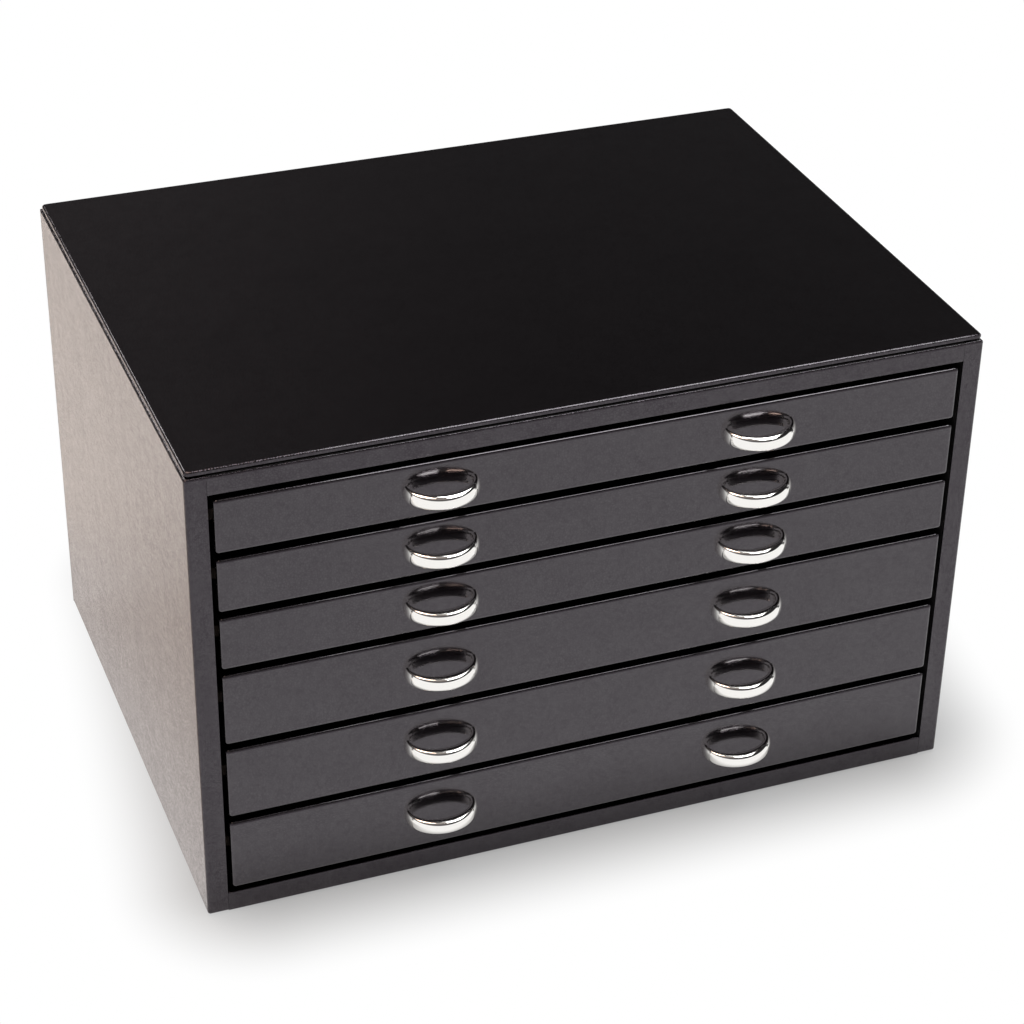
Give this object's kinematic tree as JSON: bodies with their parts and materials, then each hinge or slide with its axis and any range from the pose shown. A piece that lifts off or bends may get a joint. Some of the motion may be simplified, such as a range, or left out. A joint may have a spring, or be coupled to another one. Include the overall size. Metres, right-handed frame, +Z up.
{
  "type": "jewelry chest",
  "caption": "Box-shaped chest covered in dark leather, with shallow and deep lined drawers that slide out by polished crescent pulls, for storing jewellery.",
  "frame": {"origin": "middle of the felt face that the chest stands on", "axes": "+X to the right of someone facing the drawers, -Y out of the drawer fronts, +Z up"},
  "size_m": [0.34, 0.264, 0.2137],
  "materials": {
    "leather": "smooth satin",
    "board": "fibreboard covered in black paper",
    "drawer_board": "covered in black paper",
    "runner_wood": "dark stained",
    "felt": "felt",
    "velour": "short pile",
    "chrome": "polished",
    "steel": "plain"
  },
  "bodies": {
    "case": {"left_side_board": "board", "right_side_board": "board", "top_board": "board", "bottom_board": "board", "back_board": "board", "left_side_leather": "leather", "right_side_leather": "leather", "top_rail_leather": "leather", "bottom_rail_leather": "leather", "back_leather": "leather", "top_panel_core": "board", "top_panel_leather": "leather", "base_felt": "felt", "left_runners": "runner_wood", "right_runners": "runner_wood"},
    "drawer_1": {"drawer_1_front_board": "board", "drawer_1_front_leather": "leather", "drawer_1_walls": "drawer_board", "drawer_1_bottom": "drawer_board", "drawer_1_insert": "velour", "drawer_1_pulls": "chrome", "drawer_1_screws": "steel", "ring_rolls": "velour"},
    "drawer_2": {"drawer_2_front_board": "board", "drawer_2_front_leather": "leather", "drawer_2_walls": "drawer_board", "drawer_2_bottom": "drawer_board", "drawer_2_insert": "velour", "drawer_2_pulls": "chrome", "drawer_2_screws": "steel"},
    "drawer_3": {"drawer_3_front_board": "board", "drawer_3_front_leather": "leather", "drawer_3_walls": "drawer_board", "drawer_3_bottom": "drawer_board", "drawer_3_insert": "velour", "drawer_3_pulls": "chrome", "drawer_3_screws": "steel"},
    "drawer_4": {"drawer_4_front_board": "board", "drawer_4_front_leather": "leather", "drawer_4_walls": "drawer_board", "drawer_4_bottom": "drawer_board", "drawer_4_insert": "velour", "drawer_4_pulls": "chrome", "drawer_4_screws": "steel"},
    "drawer_5": {"drawer_5_front_board": "board", "drawer_5_front_leather": "leather", "drawer_5_walls": "drawer_board", "drawer_5_bottom": "drawer_board", "drawer_5_insert": "velour", "drawer_5_pulls": "chrome", "drawer_5_screws": "steel"},
    "drawer_6": {"drawer_6_front_board": "board", "drawer_6_front_leather": "leather", "drawer_6_walls": "drawer_board", "drawer_6_bottom": "drawer_board", "drawer_6_insert": "velour", "drawer_6_pulls": "chrome", "drawer_6_screws": "steel"}
  },
  "joints": [
    {"name": "drawer_1_slide", "type": "slide", "parent": "case", "child": "drawer_1", "axis": [0, -1, 0], "range_m": [0, 0.165]},
    {"name": "drawer_2_slide", "type": "slide", "parent": "case", "child": "drawer_2", "axis": [0, -1, 0], "range_m": [0, 0.165]},
    {"name": "drawer_3_slide", "type": "slide", "parent": "case", "child": "drawer_3", "axis": [0, -1, 0], "range_m": [0, 0.165]},
    {"name": "drawer_4_slide", "type": "slide", "parent": "case", "child": "drawer_4", "axis": [0, -1, 0], "range_m": [0, 0.165]},
    {"name": "drawer_5_slide", "type": "slide", "parent": "case", "child": "drawer_5", "axis": [0, -1, 0], "range_m": [0, 0.165]},
    {"name": "drawer_6_slide", "type": "slide", "parent": "case", "child": "drawer_6", "axis": [0, -1, 0], "range_m": [0, 0.165]}
  ]
}
